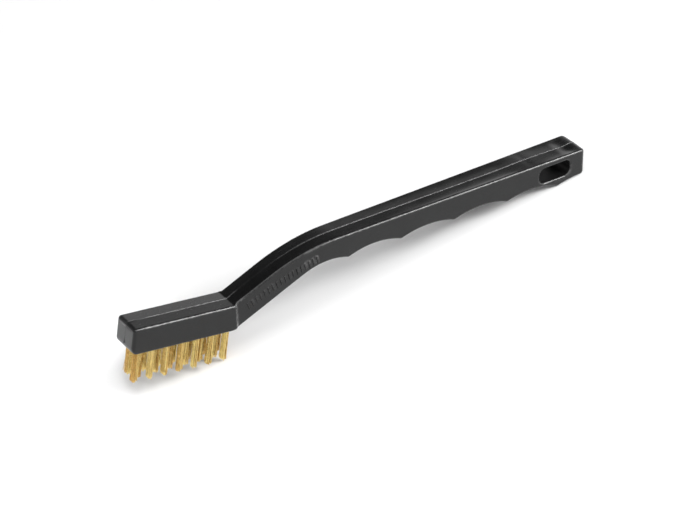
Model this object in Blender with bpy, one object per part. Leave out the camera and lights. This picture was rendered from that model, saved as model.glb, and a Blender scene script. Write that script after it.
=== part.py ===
"""Small brass wire scratch brush with a cranked plastic handle.

The head, neck and handle are one moulding. Twenty tufts of brass wire stand in blind holes in the
head, in three rows, and each is folded over a flat anchor that wedges it in its hole.

The shapes are drawn in the head's own frame, in millimetres: X from the head's tip to the tail,
Y across, Z up, with the head's underside at Z = 0. Each object sits at its place in that frame and is
parented to the empty bench_pose, which lays the brush on the bench: it stands on its rear tufts and on
the underside of its tail.
"""

import math
import random

import bmesh
import bpy
from mathutils import Matrix, Vector

MM = 0.001
SEED = 7

# Head, a rounded block.
HEAD_WIDTH = 11.15
HEAD_HEIGHT = 10.04
CREASE_X = 39.5          # where the neck leaves the head's top
EDGE_RADIUS = 0.75       # long edges of the whole moulding
TIP_RADIUS = 1.15        # around the head's end face
TAIL_RADIUS = 1.7        # around the tail's end face

# Neck and handle, as lines of the side view: a point and a slope.
NECK_SLOPE = 0.597
NECK_WIDTH = 9.8
HANDLE_POINT = (82.2, 27.96)
HANDLE_SLOPE = 0.137
TOP_BEND_RADIUS = 70.0
HEEL_RADIUS = 7.8        # underside, where the head turns into the neck
HEEL_X = 41.3
UNDER_BEND_START = 67.8
UNDER_BEND_RADIUS = 24.0
TAIL_WIDTH = 12.8
TAIL_X = 187.8           # underside corner of the tail's end face

# Underside cusps between the finger scallops (X, Z), and how deep each scallop is cut.
CUSPS = ((85.3, 18.5), (107.5, 21.25), (130.2, 24.15), (153.3, 26.8), (176.2, 28.85), (TAIL_X, 32.05))
SCALLOP_DEPTHS = (2.15, 1.95, 2.05, 2.0, 0.5)

# Where the sections stand along a scallop, as shares of its length.
SCALLOP_SHARES = (0, 0.03, 0.1, 0.2, 0.3, 0.4, 0.5, 0.6, 0.7, 0.8, 0.9, 0.97)

# The moulding's halves meet along the middle, in a low roof and a fine ridge.
ROOF = 0.14
RIDGE_HEIGHT = 0.07
RIDGE_WIDTH = 0.3

# Hang slot, through the tail from side to side.
SLOT_CENTRE = (173.4, 35.05)
SLOT_LENGTH = 13.9
SLOT_HEIGHT = 6.2
SLOT_CORNER = 2.3
SLOT_RIM = 0.4

# Tufts: two outer rows of seven and a middle row of six between them.
# Each row's name, place across, count and first tuft's X.
ROWS = (("near", -2.6, 7, 3.45), ("middle", 0.0, 6, 7.1), ("far", 2.6, 7, 4.15))
TUFT_PITCH = 5.9
TRIM = 12.7              # free length of the wire
TUFT_RADIUS = 1.12
TUFT_TIP_RADIUS = 1.28
TUFT_ROOT = 6.5          # depth of the folded end inside the hole
HOLE_RADIUS = 1.4
HOLE_DEPTH = 6.9
CLEARANCE = 0.27
BENT = {"middle_1": (-1.6, -0.6)}   # one tuft leans out of line
TUFT_SIDES = 20
TUFT_FLUTES = 10
HOLE_SIDES = 20

# Anchors: flat strips through the fold of each tuft, wedged across its hole.
ANCHOR_LENGTH = 3.4
ANCHOR_THICKNESS = 0.35
ANCHOR_HEIGHT = 2.0
ANCHOR_Z = 4.75
ANCHOR_EDGE = 0.06

PLASTIC = ("black_plastic", (0.022, 0.022, 0.023), 0.42, 0.0)
BRASS = ("brass_wire", (0.72, 0.49, 0.19), 0.30, 1.0)
STEEL = ("anchor_steel", (0.55, 0.54, 0.50), 0.35, 1.0)


def clear_scene():
    for obj in list(bpy.data.objects):
        bpy.data.objects.remove(obj, do_unlink=True)


def material(spec):
    name, colour, roughness, metallic = spec
    made = bpy.data.materials.new(name)
    made.use_nodes = True
    shader = made.node_tree.nodes["Principled BSDF"]
    shader.inputs["Base Color"].default_value = (*colour, 1.0)
    shader.inputs["Roughness"].default_value = roughness
    shader.inputs["Metallic"].default_value = metallic
    return made


def along(table, x):
    """Straight-line interpolation in a table of (x, value) pairs."""
    if x <= table[0][0]:
        return table[0][1]
    for (x0, v0), (x1, v1) in zip(table, table[1:]):
        if x <= x1:
            return v0 + (v1 - v0) * (x - x0) / (x1 - x0)
    return table[-1][1]


# ---- side view of the moulding -------------------------------------------------------------

def bend(x, corner, slope_in, slope_out, radius):
    """Height of two lines that meet at a corner, rounded to a radius, with the lines beyond."""
    cx, cz = corner
    a, b = math.atan(slope_in), math.atan(slope_out)
    reach = radius * abs(math.tan((b - a) / 2))
    if x <= cx - reach * math.cos(a):
        return cz + slope_in * (x - cx)
    if x >= cx + reach * math.cos(b):
        return cz + slope_out * (x - cx)
    side = 1.0 if b > a else -1.0
    mx = cx - reach * math.cos(a) - side * radius * math.sin(a)
    mz = cz - reach * math.sin(a) + side * radius * math.cos(a)
    return mz - side * math.sqrt(radius * radius - (x - mx) ** 2)


def top_height(x):
    """Height of the moulding's upper edges."""
    hx, hz = HANDLE_POINT
    rise = hz - HANDLE_SLOPE * hx - HEAD_HEIGHT + NECK_SLOPE * CREASE_X
    corner_x = rise / (NECK_SLOPE - HANDLE_SLOPE)
    corner = (corner_x, HEAD_HEIGHT + NECK_SLOPE * (corner_x - CREASE_X))
    if x < CREASE_X + 3.0:
        return bend(x, (CREASE_X, HEAD_HEIGHT), 0.0, NECK_SLOPE, 0.8)
    return bend(x, corner, NECK_SLOPE, HANDLE_SLOPE, TOP_BEND_RADIUS)


def scallop(x, start, end, depth):
    """Height of a circular arch of the given depth over the chord between two cusps."""
    (x0, z0), (x1, z1) = start, end
    half = math.hypot(x1 - x0, z1 - z0) / 2
    radius = (half * half + depth * depth) / (2 * depth)
    tilt = math.atan2(z1 - z0, x1 - x0)
    mx = (x0 + x1) / 2 + (radius - depth) * math.sin(tilt)
    mz = (z0 + z1) / 2 - (radius - depth) * math.cos(tilt)
    return mz + math.sqrt(max(radius * radius - (x - mx) ** 2, 0.0))


def under_height(x):
    """Height of the moulding's lower edges."""
    if x <= UNDER_BEND_START:
        return bend(x, (HEEL_X, 0.0), 0.0, NECK_SLOPE, HEEL_RADIUS)
    if x <= CUSPS[0][0]:
        angle = math.atan(NECK_SLOPE)
        z0 = NECK_SLOPE * (UNDER_BEND_START - HEEL_X)
        mx = UNDER_BEND_START + UNDER_BEND_RADIUS * math.sin(angle)
        mz = z0 - UNDER_BEND_RADIUS * math.cos(angle)
        return mz + math.sqrt(UNDER_BEND_RADIUS ** 2 - (x - mx) ** 2)
    for start, end, depth in zip(CUSPS, CUSPS[1:], SCALLOP_DEPTHS):
        if x <= end[0]:
            return scallop(x, start, end, depth)
    return CUSPS[-1][1]


# A station's plane leans back from its underside point by this much at its top.
LEAN = ((0, 0.0), (36.5, 0.0), (41.5, 1.7), (48, 4.3), (54.6, 4.6), (64, 4.2), (70, 2.8), (77.5, 1.4),
        (175, 1.3), (TAIL_X, 1.65))
WIDTH = ((0, HEAD_WIDTH), (41.2, HEAD_WIDTH), (41.6, 11.0), (42.1, 10.5), (42.6, 10.05), (43.1, 9.85),
         (43.6, NECK_WIDTH), (66, 9.95), (77, 10.37), (TAIL_X, TAIL_WIDTH))


def station_list():
    """Underside X of each section, with the inset that rounds the end faces."""
    found = []
    steps = [math.radians(a) for a in (0, 22.5, 45, 67.5, 90)]
    for a in steps:
        found.append((TIP_RADIUS * (1 - math.cos(a)), TIP_RADIUS * (1 - math.sin(a))))
    found += [(x, 0.0) for x in (39.0, 40.0, 40.6, 40.95, 41.3, 41.7, 42.1, 42.6, 43.1, 43.6, 45, 48, 51.5)]
    found += [(x, 0.0) for x in (55, 58, 61, 64, 66, 67.8, 69.5, 71.2, 73, 75, 77, 79, 81, 83, 84.4)]
    for (x0, _), (x1, _) in zip(CUSPS[:-2], CUSPS[1:-1]):
        found += [(x0 + (x1 - x0) * t, 0.0) for t in SCALLOP_SHARES]
    last = CUSPS[-2][0]
    found += [(last + d, 0.0) for d in (0, 0.7, 2.5, 4.5, 6.5, 8.0)]
    for a in reversed(steps):
        found.append((TAIL_X - TAIL_RADIUS * (1 - math.cos(a)), TAIL_RADIUS * (1 - math.sin(a))))
    return found


def corner(cy, ch, radius, start):
    """Quarter circle of four points, in section coordinates (across, up)."""
    angles = [math.radians(start + t) for t in (0, 30, 60, 90)]
    return [(cy + radius * math.cos(a), ch + radius * math.sin(a)) for a in angles]


def section(x, inset):
    """One ring of the moulding: a rounded rectangle with a low roof and ridge on its top."""
    low = Vector((x, 0, under_height(x)))
    top_x = x - along(LEAN, x)
    high = Vector((top_x, 0, top_height(top_x)))
    up = (high - low).normalized()
    low, high = low + up * inset, high - up * inset * (1.0 if x < HEEL_X else 0.6)
    depth = (high - low).length
    half = along(WIDTH, x) / 2 - inset
    r = max(EDGE_RADIUS - inset * 0.3, 0.3)
    keel = 0.0 if x < HEEL_X + 2 else ROOF * 0.6
    ridge = RIDGE_WIDTH / 2
    flat = corner(half - r, depth - r, r, 0)
    flat += [(ridge, depth + ROOF), (0, depth + ROOF + RIDGE_HEIGHT), (-ridge, depth + ROOF)]
    flat += corner(-half + r, depth - r, r, 90)
    flat += corner(-half + r, r, r, 180)
    flat += [(-ridge, -keel), (0, -keel * 1.5), (ridge, -keel)]
    flat += corner(half - r, r, r, 270)
    return [low + up * h + Vector((0, y, 0)) for y, h in flat]


def loft(rings):
    """Closed mesh through rings of equal point counts, with flat caps."""
    mesh = bmesh.new()
    loops = [[mesh.verts.new(point * MM) for point in ring] for ring in rings]
    for a, b in zip(loops, loops[1:]):
        for i in range(len(a)):
            j = (i + 1) % len(a)
            mesh.faces.new((a[i], a[j], b[j], b[i]))
    mesh.faces.new(loops[0])
    mesh.faces.new(reversed(loops[-1]))
    return mesh


def add_object(name, mesh, made_of=None, place=(0, 0, 0), smooth=None):
    bmesh.ops.recalc_face_normals(mesh, faces=mesh.faces)
    data = bpy.data.meshes.new(name)
    mesh.to_mesh(data)
    mesh.free()
    obj = bpy.data.objects.new(name, data)
    obj.location = Vector(place) * MM
    bpy.context.scene.collection.objects.link(obj)
    if made_of:
        data.materials.append(made_of)
    if smooth is not None:
        data.shade_smooth()
        data.set_sharp_from_angle(angle=math.radians(smooth))
    return obj


def cut(target, cutter):
    modifier = target.modifiers.new("cut_" + cutter.name, "BOOLEAN")
    modifier.operation = "DIFFERENCE"
    modifier.solver = "EXACT"
    modifier.object = cutter
    cutter.hide_render = True
    cutter.display_type = "WIRE"


# ---- tufts and anchors -----------------------------------------------------------------------

def tuft_places():
    """(node suffix, x, y) of the twenty holes: near, middle and far rows."""
    return [(f"{row}_{n + 1}", first + n * TUFT_PITCH, y)
            for row, y, count, first in ROWS for n in range(count)]


def tuft_mesh(bent, rng):
    """A bundle of crimped wire: a fluted, slightly wavy column that spreads towards its tip."""
    levels = [TUFT_ROOT, TUFT_ROOT - 0.5, 3.2, 0.4, -0.6, -2.4, -4.2, -6.0, -7.8, -9.6, -11.4, -TRIM]
    turn = rng.uniform(0, math.tau)
    lean_x, lean_y = bent[0] + rng.uniform(-0.1, 0.16), bent[1] + rng.uniform(-0.1, 0.1)
    rings = []
    for z in levels:
        free = max(-z, 0.0) / TRIM
        radius = TUFT_RADIUS + (TUFT_TIP_RADIUS - TUFT_RADIUS) * free
        if z == TUFT_ROOT:
            radius *= 0.72
        flute = 0.075 if z < 0 else 0.03
        sway = 0.05 * math.sin(z * 1.75 + turn) * (1 if z < 0 else 0)
        ring = []
        for i in range(TUFT_SIDES):
            a = math.tau * i / TUFT_SIDES
            r = radius * (1 + flute * (math.cos(TUFT_FLUTES * a) - 1))
            ragged = rng.uniform(0.0, 0.5) if z == -TRIM else 0.0
            ring.append(Vector((r * math.cos(a) + sway + lean_x * free,
                                r * math.sin(a) + lean_y * free, z + ragged)))
        rings.append(ring)
    return loft(rings)


def prism(cx, cy, cz, size):
    """Eight corners of a box about a centre."""
    return [Vector((cx + sx * size[0] / 2, cy + sy * size[1] / 2, cz + sz * size[2] / 2))
            for sz in (-1, 1) for sx, sy in ((-1, -1), (1, -1), (1, 1), (-1, 1))]


def boxes_mesh(boxes):
    mesh = bmesh.new()
    for centre, size in boxes:
        v = [mesh.verts.new(p * MM) for p in prism(*centre, size)]
        for ids in ((0, 3, 2, 1), (4, 5, 6, 7), (0, 1, 5, 4), (1, 2, 6, 5), (2, 3, 7, 6), (3, 0, 4, 7)):
            mesh.faces.new([v[i] for i in ids])
    return mesh


def holes_mesh():
    """Blind holes with drilled, coned ends."""
    mesh = bmesh.new()
    levels = ((-1.0, HOLE_RADIUS), (HOLE_DEPTH - 0.35, HOLE_RADIUS), (HOLE_DEPTH, HOLE_RADIUS * 0.5))
    for _, x, y in tuft_places():
        loops = []
        for z, r in levels:
            loops.append([mesh.verts.new(Vector((x + r * math.cos(math.tau * i / HOLE_SIDES),
                                                 y + r * math.sin(math.tau * i / HOLE_SIDES), z)) * MM)
                          for i in range(HOLE_SIDES)])
        for a, b in zip(loops, loops[1:]):
            for i in range(HOLE_SIDES):
                j = (i + 1) % HOLE_SIDES
                mesh.faces.new((a[i], a[j], b[j], b[i]))
        mesh.faces.new(reversed(loops[0]))
        mesh.faces.new(loops[-1])
    return mesh


def slot_mesh():
    """Rounded oblong prism across the tail, flared at both faces to round its rim."""
    tilt = math.atan(HANDLE_SLOPE)
    face = TAIL_WIDTH / 2 - 0.15
    rings = []
    for y, grow in ((-face - 1, SLOT_RIM + 0.6), (-face, SLOT_RIM * 0.55), (-face + SLOT_RIM, 0.08),
                    (-face + 2 * SLOT_RIM, 0.0), (face - 2 * SLOT_RIM, 0.0), (face - SLOT_RIM, 0.08),
                    (face, SLOT_RIM * 0.55), (face + 1, SLOT_RIM + 0.6)):
        r = SLOT_CORNER + grow
        long, tall = SLOT_LENGTH / 2 + grow - r, SLOT_HEIGHT / 2 + grow - r
        ring = []
        for side, level, first in ((1, -1, -90), (1, 1, 0), (-1, 1, 90), (-1, -1, 180)):
            for k in range(6):
                a = math.radians(first + 18 * k)
                u, v = side * long + r * math.cos(a), level * tall + r * math.sin(a)
                ring.append(Vector((SLOT_CENTRE[0] + u * math.cos(tilt) - v * math.sin(tilt), y,
                                    SLOT_CENTRE[1] + u * math.sin(tilt) + v * math.cos(tilt))))
        rings.append(ring)
    return loft(rings)


# ---- placing on the bench -----------------------------------------------------------------------

def corners(objects):
    """Every mesh point of the objects, at its place in the head's frame."""
    return [obj.location + v.co for obj in objects for v in obj.data.vertices]


def lowest(points, angle):
    return min(p.z * math.cos(angle) - p.x * math.sin(angle) for p in points)


def bench_angle(moulding, wires):
    """Pitch about Y at which the tail and the tufts touch one level, by halving."""
    low, high = math.radians(5), math.radians(30)
    for _ in range(50):
        angle = (low + high) / 2
        if lowest(moulding, angle) > lowest(wires, angle):
            low = angle
        else:
            high = angle
    return angle


def add_bench_pose(handle, tufts):
    """Empty that stands the brush on Z = 0 and centres it over the origin."""
    angle = bench_angle(corners([handle]), corners(tufts))
    turn = Matrix.Rotation(angle, 4, "Y")
    turned = [turn @ p for p in corners([handle] + tufts)]
    middle_x, middle_y = [(min(p[k] for p in turned) + max(p[k] for p in turned)) / 2 for k in (0, 1)]
    pose = bpy.data.objects.new("bench_pose", None)
    bpy.context.scene.collection.objects.link(pose)
    pose.location = (-middle_x, -middle_y, -min(p.z for p in turned))
    pose.rotation_euler = (0, angle, 0)
    return pose


# ---- assembly ---------------------------------------------------------------------------------

def add_handle(plastic, cutters):
    shell = loft([section(x, inset) for x, inset in station_list()])
    handle = add_object("handle", shell, plastic, smooth=32)
    for cutter in cutters:
        cut(handle, cutter)
    return handle


def add_tuft(suffix, place, brass, windows, rng):
    tuft = add_object("tuft_" + suffix, tuft_mesh(BENT.get(suffix, (0, 0)), rng), brass, place, 40)
    cut(tuft, windows)
    return tuft


def add_anchor(suffix, place, steel):
    size = (ANCHOR_LENGTH, ANCHOR_THICKNESS, ANCHOR_HEIGHT)
    anchor = add_object("anchor_" + suffix, boxes_mesh([((0, 0, ANCHOR_Z), size)]), steel, place, 30)
    rounding = anchor.modifiers.new("rounded_edges", "BEVEL")
    rounding.width = ANCHOR_EDGE * MM
    rounding.segments = 1
    return anchor


def build():
    clear_scene()
    rng = random.Random(SEED)
    plastic, brass, steel = material(PLASTIC), material(BRASS), material(STEEL)

    pocket = [side + 2 * CLEARANCE for side in (ANCHOR_LENGTH, ANCHOR_THICKNESS, ANCHOR_HEIGHT)]
    pocket_boxes = [((x, y, ANCHOR_Z), pocket) for _, x, y in tuft_places()]
    holes = add_object("tuft_holes", holes_mesh())
    pockets = add_object("anchor_pockets", boxes_mesh(pocket_boxes))
    slot = add_object("hang_slot", slot_mesh())
    cutters = [holes, pockets, slot]

    handle = add_handle(plastic, cutters)
    tufts = [add_tuft(suffix, (x, y, 0), brass, pockets, rng) for suffix, x, y in tuft_places()]
    anchors = [add_anchor(suffix, (x, y, 0), steel) for suffix, x, y in tuft_places()]

    pose = add_bench_pose(handle, tufts)
    for obj in [handle] + cutters + tufts + anchors:
        obj.parent = pose


build()
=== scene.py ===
"""Looks of the small brass wire scratch brush: one black moulding and twenty tufts of crimped wire.

Shapes are drawn in the head's own frame, in millimetres: X from the head's tip to the tail, Y across, Z up,
with the head's underside at Z = 0. The frame's anchors say where that lies on the bench.
"""

import math
import random

import bmesh
import bpy
import numpy as np
from mathutils import Matrix, Vector, noise


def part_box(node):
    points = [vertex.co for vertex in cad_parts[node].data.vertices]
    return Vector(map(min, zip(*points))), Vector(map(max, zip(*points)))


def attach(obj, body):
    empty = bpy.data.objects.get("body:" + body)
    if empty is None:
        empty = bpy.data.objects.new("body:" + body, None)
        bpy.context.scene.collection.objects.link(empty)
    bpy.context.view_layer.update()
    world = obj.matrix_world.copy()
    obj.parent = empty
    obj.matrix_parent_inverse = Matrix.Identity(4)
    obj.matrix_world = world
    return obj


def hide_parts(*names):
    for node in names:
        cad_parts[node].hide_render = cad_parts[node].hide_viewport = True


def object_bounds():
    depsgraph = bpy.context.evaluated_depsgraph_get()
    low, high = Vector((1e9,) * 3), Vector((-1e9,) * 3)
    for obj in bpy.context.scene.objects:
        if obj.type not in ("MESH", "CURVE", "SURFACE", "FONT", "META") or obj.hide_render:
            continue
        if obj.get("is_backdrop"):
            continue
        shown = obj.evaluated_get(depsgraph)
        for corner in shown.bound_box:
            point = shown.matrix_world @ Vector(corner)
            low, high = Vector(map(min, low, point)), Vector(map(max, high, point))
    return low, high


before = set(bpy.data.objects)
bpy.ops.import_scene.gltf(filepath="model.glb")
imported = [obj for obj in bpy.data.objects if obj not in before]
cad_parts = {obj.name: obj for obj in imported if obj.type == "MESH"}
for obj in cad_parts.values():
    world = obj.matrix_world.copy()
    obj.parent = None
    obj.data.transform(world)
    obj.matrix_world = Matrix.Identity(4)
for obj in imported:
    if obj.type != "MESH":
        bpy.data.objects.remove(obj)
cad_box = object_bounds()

MM = 0.001
SEED = 11

# Moulding: the CAD part's lines, with its edges and ends rounded more finely.
HEAD_WIDTH = 11.15
HEAD_HEIGHT = 10.04
CREASE_X = 39.5
EDGE_RADIUS = 0.85
TIP_RADIUS = 1.15
TIP_FOOT_RADIUS = 2.3
TAIL_RADIUS = 1.75
NECK_SLOPE = 0.597
NECK_WIDTH = 9.8
HANDLE_POINT = (82.2, 27.96)
HANDLE_SLOPE = 0.137
TOP_BEND_RADIUS = 70.0
HEEL_RADIUS = 7.8
HEEL_X = 41.3
UNDER_BEND_START = 67.8
UNDER_BEND_RADIUS = 24.0
TAIL_WIDTH = 12.8
TAIL_X = 187.74
CUSPS = ((85.3, 18.5), (107.5, 21.25), (130.2, 24.15), (153.3, 26.8), (176.2, 28.85), (TAIL_X, 32.05))
SCALLOP_DEPTHS = (2.15, 1.95, 2.05, 2.0, 0.5)

# A section's top leans back from its underside point by this much, and the section is this wide.
LEAN = ((0, 0.0), (36.5, 0.0), (41.5, 1.7), (48, 4.3), (54.6, 4.6), (64, 4.2), (70, 2.8), (77.5, 1.4),
        (175, 1.3), (TAIL_X, 1.65))
WIDTH = ((0, HEAD_WIDTH), (41.25, HEAD_WIDTH), (41.5, 11.05), (41.8, 10.7), (42.15, 10.18), (42.5, 9.9),
         (42.9, 9.82), (43.4, NECK_WIDTH), (66, 9.95), (77, 10.37), (TAIL_X, TAIL_WIDTH))

# Where the sections stand: shares of a scallop's length, and distances past the last whole scallop.
SCALLOP_SHARES = (0, 0.02, 0.045, 0.08, *np.arange(0.12, 0.9, 0.04), 0.92, 0.955, 0.98)
TAIL_STEPS = (0, 0.45, 1.0, 1.7, 2.4, 3.1, 3.8, 4.5, 5.2, 5.9, 6.6, 7.3, 8.1, 9.0)

# A section's outline: shares of the way across a flat, and degrees round a corner.
FLAT_SHARES = (0.1, 0.25, 0.42, 0.6, 0.77, 0.9)
SIDE_SHARES = (0.06, 0.18, 0.32, 0.5, 0.68, 0.82, 0.94)
CORNER_DEGREES = range(0, 91, 10)

# Parting line: a low roof with a fine bead along its middle.
ROOF = 0.12
KEEL = 0.08              # height of the roof on the underside, behind the head
BEAD = ((0.0, 0.085), (0.09, 0.055), (0.14, 0.0))    # across, up
BEAD_SHARE = 0.034       # the bead's half width on an end face, as a share of the face's
END_BEAD = 0.06          # how far it stands out of the tail's end face
FIRST_STRIP = 9          # outline points where the top's fillet starts and the underside's ends
LAST_STRIP = 33
NIB_HEIGHT = 4.6         # gate scar at the foot of the tip's end face
NIB_PROUD = 0.6
NIB_START = 0.07

# Hang slot.
SLOT_CENTRE = (173.4, 35.05)
SLOT_LENGTH = 13.9
SLOT_HEIGHT = 6.2
SLOT_CORNER = 2.3
SLOT_RIM = 0.7
SLOT_DEPTHS = (0.2, 1.4, 3.2)    # rings on the wall, inside the rim

# Raised ribs on the neck's near side.
RIB_COUNT = 18
RIB_START = (45.4, 8.6)
RIB_END = (72.0, 20.9)
RIB_SIZE = (0.55, 2.9, 0.32)     # along, up and out
RIB_BOW = 0.75           # how far their row bows up from a straight line

# Tufts of wire. Each row's name, place across, count and first tuft's X.
ROWS = (("near", -2.6, 7, 3.45), ("middle", 0.0, 6, 7.1), ("far", 2.6, 7, 4.15))
TUFT_PITCH = 5.9
TRIM = 12.7
WIRE_RADIUS = 0.082
WIRE_SPACING = 0.205
BUNDLE_RADIUS = 1.12
HOLE_RADIUS = 1.25
HOLE_DEPTH = 6.9
HOLE_SIDES = 28
BENT = {"middle_1": (-1.6, -0.6)}    # one tuft leans out of line
WIRE_SIDES = 6
CLUMPS = 6               # strands that a tuft's wires gather into
STRAY_CHANCE = 0.05
FOLD_Z = 5.3             # where the legs end and the bend over the anchor starts
FOLD_HALF = 0.285        # half width of the innermost wire's bend
ANCHOR_SIZE = (3.4, 0.35, 2.0)
ANCHOR_Z = 4.75
POCKET_GAP = 0.27

# Studio, in metres. The sky's brightness is given by how high it is, from the horizon up to overhead.
FLOOR_REACH = 3.0
SKY = ((0.0, 1.20), (0.30, 1.40), (0.36, 0.84), (0.40, 0.32), (0.47, 0.08), (1.0, 0.03))

# Camera: where it looks on the bench and from where, in metres and degrees.
CAMERA_AIM = (-0.00394, 0.0, 0.01079)
CAMERA_DISTANCE = 0.91926
CAMERA_AZIMUTH = -119.81
CAMERA_ELEVATION = 38.517
CAMERA_ROLL = -8.571
CAMERA_LENS = 136.2857


# ---- side view of the moulding -------------------------------------------------------------

def along(table, x):
    """Straight-line interpolation in a table of (x, value) pairs."""
    if x <= table[0][0]:
        return table[0][1]
    for (x0, v0), (x1, v1) in zip(table, table[1:]):
        if x <= x1:
            return v0 + (v1 - v0) * (x - x0) / (x1 - x0)
    return table[-1][1]


def eased(curve, x, reach):
    """A curve with its corners softened over a short reach."""
    steps = (-1.0, -0.6, -0.25, 0.0, 0.25, 0.6, 1.0)
    weights = (0.4, 0.8, 1.0, 1.0, 1.0, 0.8, 0.4)
    return sum(curve(x + reach * s) * w for s, w in zip(steps, weights)) / sum(weights)


def smooth_step(x, start, end):
    """Eased rise from 0 at start to 1 at end."""
    t = min(max((x - start) / (end - start), 0.0), 1.0)
    return t * t * (3 - 2 * t)


def bend(x, corner, slope_in, slope_out, radius):
    """Height of two lines that meet at a corner, rounded to a radius, with the lines beyond."""
    cx, cz = corner
    a, b = math.atan(slope_in), math.atan(slope_out)
    reach = radius * abs(math.tan((b - a) / 2))
    if x <= cx - reach * math.cos(a):
        return cz + slope_in * (x - cx)
    if x >= cx + reach * math.cos(b):
        return cz + slope_out * (x - cx)
    side = 1.0 if b > a else -1.0
    mx = cx - reach * math.cos(a) - side * radius * math.sin(a)
    mz = cz - reach * math.sin(a) + side * radius * math.cos(a)
    return mz - side * math.sqrt(radius * radius - (x - mx) ** 2)


def sink(x):
    """How far the middle of the handle's top has drawn in as it cooled, most of all over the hang slot."""
    before = smooth_step(x, 80.0, 150.0) - smooth_step(x, 150.5, 161.5)
    over = smooth_step(x, 162.5, 176.0) - smooth_step(x, 180.0, 183.5)
    end = smooth_step(x, 176.4, 179.6) - smooth_step(x, 180.2, 184.0)
    start = smooth_step(x, 161.6, 162.6) - smooth_step(x, 162.8, 165.0)
    return 0.27 * before + 0.20 * over + 0.22 * end + 0.06 * start


def top_height(x):
    """Height of the moulding's upper edges."""
    hx, hz = HANDLE_POINT
    rise = hz - HANDLE_SLOPE * hx - HEAD_HEIGHT + NECK_SLOPE * CREASE_X
    corner_x = rise / (NECK_SLOPE - HANDLE_SLOPE)
    corner = (corner_x, HEAD_HEIGHT + NECK_SLOPE * (corner_x - CREASE_X))
    if x < CREASE_X + 3.0:
        return bend(x, (CREASE_X, HEAD_HEIGHT), 0.0, NECK_SLOPE, 0.8)
    return bend(x, corner, NECK_SLOPE, HANDLE_SLOPE, TOP_BEND_RADIUS)


def scallop(x, start, end, depth):
    """Height of a circular arch of the given depth over the chord between two cusps."""
    (x0, z0), (x1, z1) = start, end
    half = math.hypot(x1 - x0, z1 - z0) / 2
    radius = (half * half + depth * depth) / (2 * depth)
    tilt = math.atan2(z1 - z0, x1 - x0)
    mx = (x0 + x1) / 2 + (radius - depth) * math.sin(tilt)
    mz = (z0 + z1) / 2 - (radius - depth) * math.cos(tilt)
    return mz + math.sqrt(max(radius * radius - (x - mx) ** 2, 0.0))


def under_line(x):
    """Height of the moulding's lower edges, with sharp cusps."""
    if x <= UNDER_BEND_START:
        return bend(x, (HEEL_X, 0.0), 0.0, NECK_SLOPE, HEEL_RADIUS)
    if x <= CUSPS[0][0]:
        angle = math.atan(NECK_SLOPE)
        z0 = NECK_SLOPE * (UNDER_BEND_START - HEEL_X)
        mx = UNDER_BEND_START + UNDER_BEND_RADIUS * math.sin(angle)
        mz = z0 - UNDER_BEND_RADIUS * math.cos(angle)
        return mz + math.sqrt(UNDER_BEND_RADIUS ** 2 - (x - mx) ** 2)
    for start, end, depth in zip(CUSPS, CUSPS[1:], SCALLOP_DEPTHS):
        if x <= end[0]:
            return scallop(x, start, end, depth)
    return CUSPS[-1][1] + 0.30 * (x - TAIL_X)


def under_height(x):
    """Underside, with the cusps between the finger scallops a little worn round."""
    if CUSPS[0][0] - 3 < x < TAIL_X - 1:
        return eased(under_line, x, 0.45)
    return under_line(x)


def station_list():
    """Underside X of each section, with the inset that rounds the end faces."""
    steps = [math.radians(a) for a in CORNER_DEGREES]
    found = [(TIP_RADIUS * (1 - math.cos(a)), TIP_RADIUS * (1 - math.sin(a))) for a in steps]
    plain = [1.35, 1.6, 1.9] + list(np.arange(2.3, 38.2, 1.2)) + list(np.arange(38.4, 45.0, 0.22))
    plain += list(np.arange(45.2, 84.4, 0.98))
    for (x0, _), (x1, _) in zip(CUSPS[:-2], CUSPS[1:-1]):
        plain += [x0 + (x1 - x0) * t for t in SCALLOP_SHARES]
    plain += [CUSPS[-2][0] + d for d in TAIL_STEPS]
    found += [(float(x), 0.0) for x in sorted(plain)]
    for a in reversed(steps):
        found.append((TAIL_X - TAIL_RADIUS * (1 - math.cos(a)), TAIL_RADIUS * (1 - math.sin(a))))
    return found


# ---- moulding ------------------------------------------------------------------------------

def bead_left(x):
    """Share of the bead's height that is left: it is rubbed at the tip and faint along the lower neck."""
    return 0.5 + 0.5 * smooth_step(x, 3, 9) - 0.7 * (smooth_step(x, 41, 43) - smooth_step(x, 52, 68))


def half_ring(half, depth, r, keel, dip, bead):
    """Far half of a section's outline, from the top's middle to the underside's, as (across, up)."""
    points = [(y, depth + ROOF + h * bead - dip) for y, h in BEAD]
    rim, bead_edge = half - r, BEAD[-1][0]
    turns = [math.radians(a) for a in CORNER_DEGREES]
    points += [(bead_edge + (rim - bead_edge) * t, depth + ROOF * (1 - t) - dip * (1 - t ** 4))
               for t in FLAT_SHARES]
    points += [(rim + r * math.sin(a), depth - r + r * math.cos(a)) for a in turns]
    points += [(half, r + (depth - 2 * r) * (1 - t)) for t in SIDE_SHARES]
    points += [(rim + r * math.cos(a), r - r * math.sin(a)) for a in turns]
    points += [(rim + (bead_edge - rim) * t, -keel * t) for t in (*FLAT_SHARES, 1.0)]
    points.append((0.0, -keel * 1.5))
    return points


def foot_inset(x):
    """How far the underside has come up near the tip, where it turns into the end face."""
    away = max(TIP_FOOT_RADIUS - x, 0.0)
    return TIP_FOOT_RADIUS - math.sqrt(TIP_FOOT_RADIUS ** 2 - away ** 2)


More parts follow.
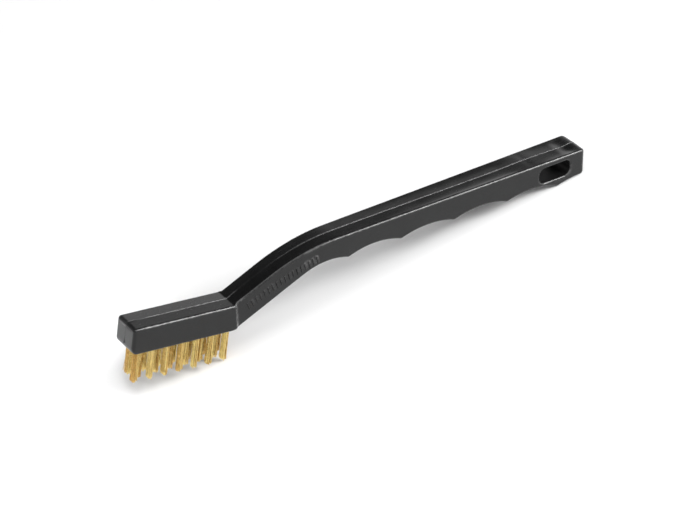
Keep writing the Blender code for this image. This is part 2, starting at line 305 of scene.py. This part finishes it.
def section(x, inset):
    """One ring of the moulding, with the slight waviness of a cooled surface."""
    low = Vector((x, 0, under_height(x)))
    top_x = x - along(LEAN, x)
    high = Vector((top_x, 0, top_height(top_x)))
    up = (high - low).normalized()
    low, high = low + up * max(inset, foot_inset(x)), high - up * inset * (1.0 if x < HEEL_X else 0.6)
    depth = (high - low).length + 0.015 * (noise.noise((x / 9.0, 4.0, 0.0)) - 0.5)
    half = eased(lambda s: along(WIDTH, s), x, 0.16) / 2 - inset
    half += 0.02 * (noise.noise((x / 7.0, 0.0, 9.0)) - 0.5)
    r = max(EDGE_RADIUS - inset * 0.3, 0.3)
    keel = 0.0 if x < HEEL_X + 2 else KEEL
    right = half_ring(half, depth, r, keel, sink(top_x), bead_left(top_x))
    ring = right + [(-y, h) for y, h in reversed(right[1:-1])]
    return [low + up * h + Vector((0, y, 0)) for y, h in ring]


def nib(height):
    """How far the scar at the foot of the tip's end face stands out, by height."""
    if height > NIB_HEIGHT:
        return NIB_START
    return NIB_START + (NIB_PROUD - NIB_START) * smooth_step(NIB_HEIGHT - height, 0.3, NIB_HEIGHT - 0.9)


def close_end(mesh, loop, out, scar):
    """End face: strips across between the two halves of the last ring, with the bead down the middle."""
    count = len(loop)
    half_count = count // 2
    rows = []
    for k in range(FIRST_STRIP, LAST_STRIP + 1):
        far, near = loop[k], loop[count - k]
        cells = [far]
        for share, proud in ((BEAD_SHARE, 0.0), (0.0, 1.0), (-BEAD_SHARE, 0.0)):
            place = Vector((far.co.x, far.co.y * share, far.co.z))
            place.x += out * proud * (nib(far.co.z / MM) if scar else END_BEAD) * MM
            cells.append(mesh.verts.new(place))
        rows.append(cells + [near])
    for a, b in zip(rows, rows[1:]):
        for i in range(4):
            mesh.faces.new((a[i], a[i + 1], b[i + 1], b[i]))
    first, last = rows[0], rows[-1]
    top_far, top_near = loop[:FIRST_STRIP], loop[count - FIRST_STRIP + 1:]
    foot_far, foot_near = loop[LAST_STRIP + 1:half_count], loop[half_count + 1:count - LAST_STRIP]
    mesh.faces.new(top_far + [first[0], first[1], first[2]])
    mesh.faces.new([loop[0], first[2], first[3], first[4]] + top_near)
    mesh.faces.new([loop[half_count], last[2], last[1], last[0]] + foot_far)
    mesh.faces.new(foot_near + [last[4], last[3], last[2], loop[half_count]])


def moulding_mesh():
    """The whole moulding before it is cut: a loft through its sections, closed at both ends."""
    mesh = bmesh.new()
    loops = [[mesh.verts.new(p * MM) for p in section(x, inset)] for x, inset in station_list()]
    for a, b in zip(loops, loops[1:]):
        for i in range(len(a)):
            j = (i + 1) % len(a)
            mesh.faces.new((a[i], a[j], b[j], b[i]))
    close_end(mesh, loops[0], -1, True)
    close_end(mesh, loops[-1], 1, False)
    bmesh.ops.recalc_face_normals(mesh, faces=mesh.faces)
    return mesh


def loft(mesh, rings):
    """Closed tube through rings of equal point counts, added to the mesh."""
    loops = [[mesh.verts.new(Vector(p) * MM) for p in ring] for ring in rings]
    for a, b in zip(loops, loops[1:]):
        for i in range(len(a)):
            j = (i + 1) % len(a)
            mesh.faces.new((a[i], a[j], b[j], b[i]))
    mesh.faces.new(reversed(loops[0]))
    mesh.faces.new(loops[-1])


def tuft_places():
    """(node suffix, x, y) of the twenty holes: near, middle and far rows."""
    return [(f"{row}_{n + 1}", first + n * TUFT_PITCH, y)
            for row, y, count, first in ROWS for n in range(count)]


def holes_mesh():
    """Blind holes with drilled, coned ends and a slightly broken mouth."""
    mesh = bmesh.new()
    levels = ((-1.0, HOLE_RADIUS + 0.06), (0.0, HOLE_RADIUS + 0.06), (0.12, HOLE_RADIUS),
              (HOLE_DEPTH - 0.35, HOLE_RADIUS), (HOLE_DEPTH, HOLE_RADIUS * 0.5))
    turns = [math.tau * i / HOLE_SIDES for i in range(HOLE_SIDES)]
    for _, x, y in tuft_places():
        loft(mesh, [[(x + r * math.cos(a), y + r * math.sin(a), z) for a in turns] for z, r in levels])
    bmesh.ops.recalc_face_normals(mesh, faces=mesh.faces)
    return mesh


def box_rings(cx, cy, cz, sx, sy, sz):
    """Lower and upper outline of a box about a centre."""
    flat = ((-1, -1), (1, -1), (1, 1), (-1, 1))
    return [[(cx + a * sx / 2, cy + b * sy / 2, cz + c * sz / 2) for a, b in flat] for c in (-1, 1)]


def pockets_mesh():
    """Slits that the anchors are pressed into."""
    mesh = bmesh.new()
    size = [s + 2 * POCKET_GAP for s in ANCHOR_SIZE]
    for _, x, y in tuft_places():
        loft(mesh, box_rings(x, y, ANCHOR_Z, *size))
    return mesh


def slot_ring(y, grow):
    """Rounded oblong outline of the hang slot at one depth, widened by a little."""
    tilt = math.atan(HANDLE_SLOPE)
    r = SLOT_CORNER + grow
    long, tall = SLOT_LENGTH / 2 + grow - r, SLOT_HEIGHT / 2 + grow - r
    ring = []
    for side, level, first in ((1, -1, -90), (1, 1, 0), (-1, 1, 90), (-1, -1, 180)):
        for k in range(11):
            a = math.radians(first + 9 * k)
            u, v = side * long + r * math.cos(a), level * tall + r * math.sin(a)
            ring.append((SLOT_CENTRE[0] + u * math.cos(tilt) - v * math.sin(tilt), y,
                         SLOT_CENTRE[1] + u * math.sin(tilt) + v * math.cos(tilt)))
    return ring


def slot_mesh():
    """Cutter for the hang slot, flared at both faces to round its rim."""
    face = along(WIDTH, SLOT_CENTRE[0]) / 2
    outer = [(face + 0.5, SLOT_RIM + 0.9)]
    for turn in range(0, 91, 15):
        a = math.radians(turn)
        outer.append((face - SLOT_RIM * (1 - math.cos(a)), SLOT_RIM * (1 - math.sin(a))))
    outer += [(face - SLOT_RIM - d, 0.0) for d in SLOT_DEPTHS]
    rings = [slot_ring(y, g) for y, g in outer] + [slot_ring(-y, g) for y, g in reversed(outer)]
    mesh = bmesh.new()
    loft(mesh, rings)
    bmesh.ops.recalc_face_normals(mesh, faces=mesh.faces)
    return mesh


def ribs_mesh():
    """Raised ribs, each a small prism with sloped flanks, rooted in the neck's near side."""
    mesh = bmesh.new()
    (x0, z0), (x1, z1) = RIB_START, RIB_END
    wide, tall, proud = RIB_SIZE
    for n in range(RIB_COUNT):
        t = n / (RIB_COUNT - 1)
        x, z = x0 + (x1 - x0) * t, z0 + (z1 - z0) * t + RIB_BOW * math.sin(math.pi * t)
        slope = math.atan2(z1 - z0 + RIB_BOW * math.pi * math.cos(math.pi * t), x1 - x0)
        face = -along(WIDTH, x + 1.6) / 2
        rings = []
        for y, grow in ((face + 0.6, 0.1), (face + 0.05, 0.1), (face - proud * 0.7, 0.0),
                        (face - proud, -0.09)):
            a, b = wide / 2 + grow, tall / 2 + grow
            rings.append([(x + u * math.cos(slope) - v * math.sin(slope), y,
                           z + u * math.sin(slope) + v * math.cos(slope))
                          for u, v in ((-a, -b), (a, -b), (a, b), (-a, b))])
        loft(mesh, rings)
    bmesh.ops.recalc_face_normals(mesh, faces=mesh.faces)
    return mesh


# ---- objects ---------------------------------------------------------------------------------

def new_object(name, mesh):
    """Object from a bmesh."""
    data = bpy.data.meshes.new(name)
    mesh.to_mesh(data)
    mesh.free()
    obj = bpy.data.objects.new(name, data)
    bpy.context.scene.collection.objects.link(obj)
    return obj


def carve(obj, cutter, operation):
    """Booleans the cutter into the object at once, and removes the cutter."""
    step = obj.modifiers.new("carve", "BOOLEAN")
    step.operation = operation
    step.solver = "EXACT"
    step.object = cutter
    bake_modifiers(obj)
    bpy.data.objects.remove(cutter, do_unlink=True)


def bake_modifiers(obj):
    """Gives the object its evaluated mesh, and drops its modifiers."""
    graph = bpy.context.evaluated_depsgraph_get()
    graph.update()
    data = bpy.data.meshes.new_from_object(obj.evaluated_get(graph))
    obj.modifiers.clear()
    obj.data = data


def paint(obj, material):
    """Makes the material the object's only one."""
    obj.data.materials.clear()
    obj.data.materials.append(material)


def store(data, name, values):
    """Keeps one number a point, for the materials to read."""
    attribute = data.attributes.new(name, "FLOAT", "POINT")
    attribute.data.foreach_set("value", np.asarray(values, np.float32))


def store_edge_wear_and_highlight(data, turn):
    """Marks where the surface turns from one face to another, for edges lightened partly by real wear and
    partly as a painted highlight on the fillets.

    A face looks along one axis of the head's frame, and a fillet between two. The mark is less on the
    underside, along the neck and at the tip, following where the highlight falls, and there is none in the
    hang slot. Gives back which points lie on the slot's wall.
    """
    count = len(data.vertices)
    normal = np.zeros(count * 3, np.float32)
    data.vertices.foreach_get("normal", normal)
    normal = normal.reshape(-1, 3) @ np.array(turn.to_3x3())
    back = turn.inverted()
    points = np.array([back @ v.co for v in data.vertices]) / MM
    x, y = points[:, 0], np.abs(normal[:, 1])
    at_end = (x < 1.6) | (x > TAIL_X - 2.2)
    rim = 2 * y * np.where(at_end, np.abs(normal[:, 2]), np.sqrt(np.clip(1 - y * y, 0, 1)))
    rim *= np.where(normal[:, 2] < -0.1, 0.35, 1.0)
    rim *= np.where((x > 43.6) & (x < 66), 0.45, 1.0) * np.clip((x - 1.5) / 3, 0.1, 1.0)
    ends = np.where(at_end, 0.5 * np.abs(normal[:, 0] * normal[:, 2]), 0.0)
    shoulder = np.where((x > 41) & (x < 43.6), np.clip(3 * np.abs(normal[:, 0]) * y, 0, 1), 0.0)
    # how much each edge is lightened: partly wear, partly a painted highlight
    edge_wear_and_highlight = np.clip(np.maximum.reduce((rim, ends, shoulder)), 0, 1) ** 1.5
    tilt = math.atan(HANDLE_SLOPE)
    away = points - np.array((SLOT_CENTRE[0], 0.0, SLOT_CENTRE[1]))
    u = np.abs(away[:, 0] * math.cos(tilt) + away[:, 2] * math.sin(tilt))
    v = np.abs(away[:, 2] * math.cos(tilt) - away[:, 0] * math.sin(tilt))
    wall = (u < SLOT_LENGTH / 2 + 0.05) & (v < SLOT_HEIGHT / 2 + 0.05)
    wall &= np.abs(away[:, 1]) < TAIL_WIDTH / 2 - SLOT_RIM
    store(data, "edge_wear_and_highlight", np.where(wall, 0.0, edge_wear_and_highlight))
    return wall


def add_moulding(place, plastic, shaded_wall_plastic):
    """Head, neck and handle in one, with its holes, slot and ribs."""
    obj = new_object("moulding", moulding_mesh())
    for name, mesh in (("holes", holes_mesh()), ("pockets", pockets_mesh()), ("slot", slot_mesh())):
        carve(obj, new_object(name, mesh), "DIFFERENCE")
    carve(obj, new_object("ribs", ribs_mesh()), "UNION")
    obj.data.transform(place)
    obj.data.shade_smooth()
    obj.data.set_sharp_from_angle(angle=math.radians(28))
    wall = store_edge_wear_and_highlight(obj.data, place)
    weigh = obj.modifiers.new("even_faces", "WEIGHTED_NORMAL")
    weigh.keep_sharp = True
    weigh.weight = 80
    bake_modifiers(obj)
    paint(obj, plastic)
    obj.data.materials.append(shaded_wall_plastic)
    # faces on the slot's wall take the darkened plastic, painted shade in the slot
    for face in obj.data.polygons:
        face.material_index = int(all(wall[v] for v in face.vertices))
    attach(obj, "root")
    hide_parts("handle")
    return obj


# ---- wire ------------------------------------------------------------------------------------

def bundle(rng):
    """Where the wires of one tuft stand in its hole: pairs of near and far legs about the anchor."""
    found = []
    rows = int(BUNDLE_RADIUS / (WIRE_SPACING * 0.866)) + 1
    for j in range(rows):
        y = 0.10 + j * WIRE_SPACING * 0.866
        shift = WIRE_SPACING / 2 * (j % 2)
        for i in range(-8, 9):
            x = i * WIRE_SPACING + shift
            if math.hypot(x, y) <= BUNDLE_RADIUS:
                found.append((x + rng.uniform(-0.012, 0.012), y + rng.uniform(-0.008, 0.008)))
    return found


def leg_path(x, y, spec):
    """Centreline of one leg, from the bend over the anchor down to the tip, about the hole's axis."""
    levels = [FOLD_Z, 4.6, 3.6, 2.6, 1.2, 0.2] + list(np.linspace(-0.35, -spec["length"], 27))
    side = 1.0 if y > 0 else -1.0
    out_x, out_y = x / BUNDLE_RADIUS, y / BUNDLE_RADIUS
    points = []
    for z in levels:
        free = max(-z, 0.0) / TRIM
        apart = smooth_step(z, 2.4, 3.7)
        py = y * (1 - apart) + side * (FOLD_HALF + (abs(y) - 0.09) * 0.70) * apart
        px = x
        ramp = smooth_step(-z, -0.6, 2.4)
        wave = spec["crimp"] * ramp * math.sin(math.tau * (z / spec["pitch"] + spec["phase"]))
        px += wave * math.cos(spec["plane"]) + spec["spread"] * out_x * free ** 1.3
        py += wave * math.sin(spec["plane"]) + spec["spread"] * out_y * free ** 1.3
        px += spec["lean"][0] * free + spec["curl"][0] * free ** 2.2
        py += spec["lean"][1] * free + spec["curl"][1] * free ** 2.2
        points.append((px, py, z))
    return points


def leg_spec(x, y, lean, clumps, stray_side, rng):
    """Random shape of one leg: its crimp, its lean towards a clump, and now and then a stray."""
    cx, cy, short, shade = min(clumps, key=lambda c: math.hypot(c[0] - x, 0.35 * (c[1] - y)))
    dome = 0.5 * (x * x + y * y) / BUNDLE_RADIUS ** 2
    spec = {"length": TRIM - short - dome - abs(rng.gauss(0, 0.42)), "crimp": rng.uniform(0.006, 0.024),
            "pitch": rng.uniform(2.7, 3.5), "phase": rng.uniform(0, 1), "plane": rng.uniform(0, math.tau),
            "spread": rng.uniform(0.05, 0.34),
            "lean": (lean[0] + 0.55 * (cx - x) + rng.gauss(0, 0.05),
                     lean[1] + 0.3 * (cy - y) + rng.gauss(0, 0.08)),
            "curl": (rng.gauss(0, 0.06), rng.gauss(0, 0.06)), "tone": 0.78 * shade + 0.22 * rng.random()}
    if rng.random() < STRAY_CHANCE:
        spec["length"] -= rng.uniform(0.3, 1.6)
    if rng.random() < STRAY_CHANCE:
        spec["curl"] = (rng.uniform(-0.5, 0.5), stray_side * rng.uniform(0.2, 1.1))
    spec["length"] = min(spec["length"], TRIM - 0.02)
    return spec


def tube(points, radius, sides):
    """Vertices and faces of a closed round wire through a centreline, as arrays."""
    path = np.array(points)
    run = np.gradient(path, axis=0)
    run /= np.linalg.norm(run, axis=1)[:, None]
    across = np.cross(run, (1.0, 0.0, 0.0))
    across /= np.linalg.norm(across, axis=1)[:, None]
    other = np.cross(run, across)
    turn = np.linspace(0, math.tau, sides, endpoint=False)[None, :, None]
    ring = radius * (np.cos(turn) * across[:, None] + np.sin(turn) * other[:, None])
    verts = (path[:, None] + ring).reshape(-1, 3)
    faces = []
    for k in range(len(path) - 1):
        a, b = k * sides, (k + 1) * sides
        faces += [(a + i, a + (i + 1) % sides, b + (i + 1) % sides, b + i) for i in range(sides)]
    faces.append(tuple(range(sides))[::-1])
    faces.append(tuple((len(path) - 1) * sides + i for i in range(sides)))
    return verts, faces


def tuft_data(lean, stray_side, rng):
    """One tuft: wires bent double over the anchor, both legs crimped, with ragged trimmed tips."""
    clumps = [(rng.uniform(-0.95, 0.95), rng.uniform(-0.95, 0.95), rng.uniform(0, 0.6), rng.random())
              for _ in range(CLUMPS)]
    lean = (lean[0] + rng.uniform(-0.08, 0.12), lean[1] + rng.uniform(-0.1, 0.1))
    verts, faces, tone, reach = [], [], [], []
    start = 0
    for x, y in bundle(rng):
        far_spec = leg_spec(x, y, lean, clumps, stray_side, rng)
        near_x = x + rng.uniform(-0.01, 0.01)
        near_spec = leg_spec(near_x, -y, lean, clumps, stray_side, rng)
        far, near = leg_path(x, y, far_spec), leg_path(near_x, -y, near_spec)
        wide = abs(far[0][1])
        top = 5.86 + (wide - 0.28) * 0.62
        turns = [math.radians(d) for d in (30, 60, 90, 120, 150)]
        arch = [(x, wide * math.cos(a), FOLD_Z + (top - FOLD_Z) * math.sin(a)) for a in turns]
        v, f = tube(far[::-1] + arch + near, WIRE_RADIUS * rng.uniform(0.94, 1.04), WIRE_SIDES)
        verts.append(v)
        faces += [tuple(i + start for i in face) for face in f]
        tone += [far_spec["tone"]] * (WIRE_SIDES * (len(far) + 2))
        tone += [near_spec["tone"]] * (WIRE_SIDES * (len(near) + 3))
        reach.append(np.clip(-v[:, 2] / TRIM, 0, 1))
        start += len(v)
    return np.concatenate(verts), faces, tone, np.concatenate(reach)


def add_tuft(suffix, x, y, place, material, rng):
    """One tuft at its hole, kept just above the bench."""
    stray_side = -1.0 if y < 0 else 1.0 if y > 0 else rng.choice((-1.0, 1.0))
    verts, faces, tone, reach = tuft_data(BENT.get(suffix, (0.0, 0.0)), stray_side, rng)
    verts = (verts + np.array((x, y, 0.0))) * MM
    world = verts @ np.array(place.to_3x3()).T + np.array(place.translation)
    world[:, 2] = np.maximum(world[:, 2], 0.02 * MM)
    data = bpy.data.meshes.new("wire_" + suffix)
    data.from_pydata(world.tolist(), [], faces)
    data.shade_smooth()
    data.set_sharp_from_angle(angle=math.radians(65))
    store(data, "tone", tone)
    store(data, "reach", reach)
    obj = bpy.data.objects.new("wire_" + suffix, data)
    bpy.context.scene.collection.objects.link(obj)
    paint(obj, material)
    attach(obj, "root")
    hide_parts("tuft_" + suffix)
    return obj


# ---- materials -------------------------------------------------------------------------------

class Nodes:
    """Short way to build a material's node tree."""

    def __init__(self, name):
        self.material = bpy.data.materials.new(name)
        self.material.use_nodes = True
        self.tree = self.material.node_tree
        self.shader = self.tree.nodes["Principled BSDF"]

    def add(self, kind, settings=None, **sockets):
        """New node, with its settings and the values or links of its named inputs."""
        node = self.tree.nodes.new("ShaderNode" + kind)
        for key, value in (settings or {}).items():
            setattr(node, key, value)
        for key, value in sockets.items():
            self.put(node.inputs[key.replace("_", " ")], value)
        return node

    def put(self, socket, value):
        """Links an output to the socket, or sets the socket's value."""
        if isinstance(value, bpy.types.NodeSocket):
            self.tree.links.new(value, socket)
        else:
            socket.default_value = value

    def coordinates(self, turn=(0, 0, 0), scale=(1, 1, 1)):
        """Object coordinates in metres, turned and then stretched."""
        where = self.add("TexCoord").outputs["Object"]
        return self.add("Mapping", Vector=where, Rotation=turn, Scale=scale).outputs["Vector"]

    def noise(self, vector, scale, detail=3.0, roughness=0.55):
        node = self.add("TexNoise", Vector=vector, Scale=scale, Detail=detail, Roughness=roughness)
        return node.outputs[0]

    def span(self, value, low, high, to_low, to_high):
        """Maps one range to another, and stops at its ends."""
        node = self.add("MapRange", {"clamp": True}, Value=value)
        for index, number in ((1, low), (2, high), (3, to_low), (4, to_high)):
            self.put(node.inputs[index], number)
        return node.outputs[0]

    def math(self, operation, a, b=0.0):
        node = self.add("Math", {"operation": operation})
        self.put(node.inputs[0], a)
        self.put(node.inputs[1], b)
        return node.outputs[0]

    def blend(self, share, a, b):
        """Colour between a and b."""
        node = self.add("Mix", {"data_type": "RGBA"})
        self.put(node.inputs[0], share)
        self.put(node.inputs[6], a)
        self.put(node.inputs[7], b)
        return node.outputs[2]

    def attribute(self, name):
        return self.add("Attribute", {"attribute_name": name}).outputs["Fac"]

    def bump(self, height, strength, distance, base=None):
        node = self.add("Bump", Height=height, Strength=strength, Distance=distance)
        if base:
            self.put(node.inputs["Normal"], base)
        return node.outputs[0]


def grey(value, warm=0.0):
    return (value * (1 + warm), value, value * (1 - warm), 1.0)


def plastic_material(pitch):
    """Satin black moulded plastic: fine spark texture, flow marks, light scuffs, and edges lightened partly
    as rubbing wear and partly as a painted highlight.
    """
    n = Nodes("black_plastic")
    here = n.coordinates(turn=(0, -pitch, 0))
    flow = n.coordinates(turn=(0, -pitch, 0), scale=(0.18, 1, 1))
    streak = n.coordinates(turn=(0, -pitch + 0.35, 0.5), scale=(0.06, 1, 1))
    mottle = n.noise(here, 160.0, 4.0)
    marks = n.noise(flow, 420.0, 3.0)
    grain = n.noise(here, 5200.0, 2.0, 0.6)
    scratch = n.span(n.noise(streak, 2600.0, 2.0), 0.66, 0.74, 0.0, 1.0)
    # edge mark: partly real wear, partly a painted highlight along the fillets
    wear_and_highlight = n.math("MULTIPLY", n.attribute("edge_wear_and_highlight"), n.span(n.noise(here, 700.0, 4.0), 0.38, 0.62, 0.15, 1.0))
    colour = n.blend(n.span(mottle, 0.3, 0.7, 0.0, 1.0), grey(0.0040, -0.02), grey(0.0070, -0.02))
    colour = n.blend(n.math("MULTIPLY", scratch, 0.3), colour, grey(0.020))
    # lightens the edges towards grey: wear plus painted highlight
    colour = n.blend(n.math("MULTIPLY", wear_and_highlight, 0.8), colour, grey(0.10))
    rough = n.span(marks, 0.3, 0.7, 0.20, 0.26)
    rough = n.math("ADD", rough, n.span(mottle, 0.3, 0.7, -0.02, 0.03))
    rough = n.math("ADD", rough, n.math("MULTIPLY", scratch, 0.06))
    rough = n.math("SUBTRACT", rough, n.math("MULTIPLY", wear_and_highlight, 0.06))
    n.put(n.shader.inputs["Base Color"], colour)
    n.put(n.shader.inputs["Roughness"], rough)
    fine = n.bump(grain, 0.10, 0.00003)
    broad = n.bump(marks, 0.10, 0.00012, fine)
    n.put(n.shader.inputs["Normal"], n.bump(scratch, 0.08, 0.00002, broad))
    n.shader.inputs["Specular IOR Level"].default_value = 0.38
    return n.material


def shaded_wall_material(pitch):
    """Inside of the hang slot: the same plastic, matt from the core pin, with drag lines across; its darker
    colour and weak reflection are painted shade in the slot.
    """
    n = Nodes("slot_wall_shaded_plastic")
    here = n.coordinates(turn=(0, -pitch, 0))
    drag = n.coordinates(turn=(0, -pitch, 0), scale=(1, 0.08, 1))
    mottle = n.noise(here, 500.0, 3.0)
    lines = n.noise(drag, 1800.0, 3.0)
    # darker than the outside plastic: painted shade inside the slot
    colour = n.blend(n.span(mottle, 0.3, 0.7, 0.0, 1.0), grey(0.0035), grey(0.0060))
    colour = n.blend(n.span(lines, 0.45, 0.7, 0.0, 0.5), colour, grey(0.012))
    n.put(n.shader.inputs["Base Color"], colour)
    n.put(n.shader.inputs["Roughness"], n.span(lines, 0.3, 0.7, 0.42, 0.56))
    n.put(n.shader.inputs["Normal"], n.bump(lines, 0.2, 0.00005))
    # weak reflection as well: painted shade inside the slot
    n.shader.inputs["Specular IOR Level"].default_value = 0.12
    return n.material


def brass_material(pitch):
    """Drawn brass wire: each wire its own tone, with drawn lines and tarnish patches, made stronger towards
    the root as painted shade under the head.
    """
    n = Nodes("brass_wire")
    here = n.coordinates(turn=(0, -pitch, 0))
    drawn = n.coordinates(turn=(0, -pitch, 0), scale=(1, 1, 0.05))
    tone, reach = n.attribute("tone"), n.attribute("reach")
    patch = n.noise(here, 900.0, 3.0)
    lines = n.noise(drawn, 9000.0, 2.0)
    colour = n.blend(tone, (0.52, 0.27, 0.045, 1), (1.0, 0.87, 0.39, 1))
    # tarnish patches, strengthened towards the root as painted shade under the head
    tarnish_and_shade = n.math("MULTIPLY", n.span(patch, 0.42, 0.70, 0.0, 0.35), n.span(reach, 0.0, 0.9, 1.0, 0.55))
    colour = n.blend(tarnish_and_shade, colour, (0.38, 0.22, 0.06, 1))
    colour = n.blend(n.span(lines, 0.4, 0.75, 0.0, 0.25), colour, (1.0, 0.84, 0.42, 1))
    rough = n.math("ADD", n.span(tone, 0, 1, 0.28, 0.18), n.math("MULTIPLY", tarnish_and_shade, 0.22))
    n.put(n.shader.inputs["Base Color"], colour)
    n.put(n.shader.inputs["Roughness"], rough)
    n.put(n.shader.inputs["Normal"], n.bump(lines, 0.12, 0.00002))
    n.shader.inputs["Metallic"].default_value = 1.0
    return n.material


def steel_material(pitch):
    """Flat anchor strip: rolled along its length, sheared at its edges."""
    n = Nodes("anchor_steel")
    here = n.coordinates(turn=(0, -pitch, 0))
    rolled = n.coordinates(turn=(0, -pitch, 0), scale=(0.08, 1, 1))
    stain = n.noise(here, 1500.0, 3.0)
    lines = n.noise(rolled, 7000.0, 3.0)
    colour = n.blend(n.span(stain, 0.35, 0.7, 0.0, 1.0), (0.56, 0.55, 0.52, 1), (0.38, 0.36, 0.32, 1))
    colour = n.blend(n.span(lines, 0.45, 0.7, 0.0, 0.4), colour, (0.68, 0.67, 0.65, 1))
    n.put(n.shader.inputs["Base Color"], colour)
    n.put(n.shader.inputs["Roughness"], n.span(lines, 0.3, 0.7, 0.28, 0.46))
    n.put(n.shader.inputs["Normal"], n.bump(lines, 0.2, 0.00002))
    n.shader.inputs["Metallic"].default_value = 1.0
    return n.material


def paint_anchors(material):
    """Gives the CAD's own anchors the better steel."""
    for name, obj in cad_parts.items():
        if name.startswith("anchor_"):
            for index in range(max(len(obj.material_slots), 1)):
                if not obj.material_slots:
                    obj.data.materials.append(material)
                obj.material_slots[index].material = material


# ---- studio ----------------------------------------------------------------------------------

def floor_material():
    """Matt and near white, a little uneven."""
    n = Nodes("pale_floor")
    here = n.coordinates()
    cloud = n.noise(here, 3.0, 3.0)
    n.put(n.shader.inputs["Base Color"], n.blend(n.span(cloud, 0.3, 0.7, 0.0, 1.0), grey(0.86), grey(0.88)))
    n.put(n.shader.inputs["Roughness"], n.span(cloud, 0.3, 0.7, 0.82, 0.9))
    n.shader.inputs["Specular IOR Level"].default_value = 0.2
    return n.material


def add_floor():
    mesh = bmesh.new()
    corners = ((-1, -1), (1, -1), (1, 1), (-1, 1))
    mesh.faces.new([mesh.verts.new((x * FLOOR_REACH, y * FLOOR_REACH, 0.0)) for x, y in corners])
    floor = new_object("floor", mesh)
    paint(floor, floor_material())
    floor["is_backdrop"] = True


def towards(azimuth, elevation):
    """Unit vector at an azimuth from +X towards +Y and an elevation, in degrees."""
    a, e = math.radians(azimuth), math.radians(elevation)
    return Vector((math.cos(e) * math.cos(a), math.cos(e) * math.sin(a), math.sin(e)))


def softbox(name, azimuth, elevation, distance, wide, tall, radiance, aim=(0, 0, 0.015), spread=180):
    """Rectangular light that faces a point of the bench, with its beam's angle in degrees.

    Its radiance is that of a light without a beam angle: a narrow beam is brighter.
    """
    away = towards(azimuth, elevation)
    light = bpy.data.lights.new(name, "AREA")
    light.shape = "RECTANGLE"
    light.size, light.size_y = wide, tall
    light.energy = radiance * math.pi * wide * tall
    light.spread = math.radians(spread)
    obj = bpy.data.objects.new(name, light)
    obj.location = Vector(aim) + away * distance
    obj.rotation_euler = away.to_track_quat("Z", "Y").to_euler()
    obj.visible_camera = False
    bpy.context.scene.collection.objects.link(obj)


def add_surroundings():
    """Pale near the horizon and dark overhead, as in a studio with a low backdrop."""
    world = bpy.data.worlds.new("studio")
    bpy.context.scene.world = world
    world.use_nodes = True
    tree = world.node_tree
    background = tree.nodes["Background"]
    place = tree.nodes.new("ShaderNodeTexCoord")
    split = tree.nodes.new("ShaderNodeSeparateXYZ")
    ramp = tree.nodes.new("ShaderNodeValToRGB")
    tree.links.new(place.outputs["Generated"], split.inputs[0])
    tree.links.new(split.outputs["Z"], ramp.inputs[0])
    tree.links.new(ramp.outputs[0], background.inputs["Color"])
    while len(ramp.color_ramp.elements) < len(SKY):
        ramp.color_ramp.elements.new(0.5)
    for element, (position, level) in zip(ramp.color_ramp.elements, SKY):
        element.position = position
        element.color = grey(level)


def add_lights():
    """Key from the right, a pool on the floor that the tip's end face mirrors, and a large box above."""
    softbox("key", -38, 33, 2.4, 1.0, 0.9, 20.0)
    softbox("left_pool", -100, 60, 0.30, 0.10, 0.10, 1.2, aim=(-0.140, 0.055, 0.0), spread=20)
    softbox("front_top", -100, 70, 2.2, 2.4, 2.4, 2.1)


def add_camera():
    """Same viewing angle as the photograph."""
    camera = bpy.data.cameras.new("camera")
    camera.lens = CAMERA_LENS
    camera.sensor_width = 36.0
    camera.clip_start = 0.01
    obj = bpy.data.objects.new("camera", camera)
    away = towards(CAMERA_AZIMUTH, CAMERA_ELEVATION)
    obj.location = Vector(CAMERA_AIM) + away * CAMERA_DISTANCE
    turn = away.to_track_quat("Z", "Y").to_matrix() @ Matrix.Rotation(math.radians(CAMERA_ROLL), 3, "Z")
    obj.rotation_euler = turn.to_euler()
    bpy.context.scene.collection.objects.link(obj)
    bpy.context.scene.camera = obj
    bpy.context.scene.view_settings.view_transform = "Standard"


# ---- assembly --------------------------------------------------------------------------------

def centre(node):
    """Middle of a CAD node's box."""
    low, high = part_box(node)
    return (low + high) / 2


def bench_place():
    """Matrix from the head's frame in metres to the bench, and its pitch about Y."""
    first, last = centre("anchor_near_1"), centre("anchor_near_7")
    run = last - first
    pitch = math.atan2(-run.z, run.x)
    turn = Matrix.Rotation(pitch, 4, "Y")
    start = Vector((ROWS[0][3], ROWS[0][1], ANCHOR_Z)) * MM
    return Matrix.Translation(first - turn @ start) @ turn, pitch


def write_sizes():
    """Gathers both boxes, the CAD model's and the looks', as plain lists; they are not kept or written."""
    boxes = {"cad": cad_box, "visual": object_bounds()}
    boxes = {name: [[float(v) for v in corner] for corner in box] for name, box in boxes.items()}


def main():
    place, pitch = bench_place()
    rng = random.Random(SEED)
    add_moulding(place, plastic_material(pitch), shaded_wall_material(pitch))
    brass = brass_material(pitch)
    for suffix, x, y in tuft_places():
        add_tuft(suffix, x, y, place, brass, rng)
    paint_anchors(steel_material(pitch))
    add_floor()
    add_surroundings()
    add_lights()
    add_camera()


main()
write_sizes()
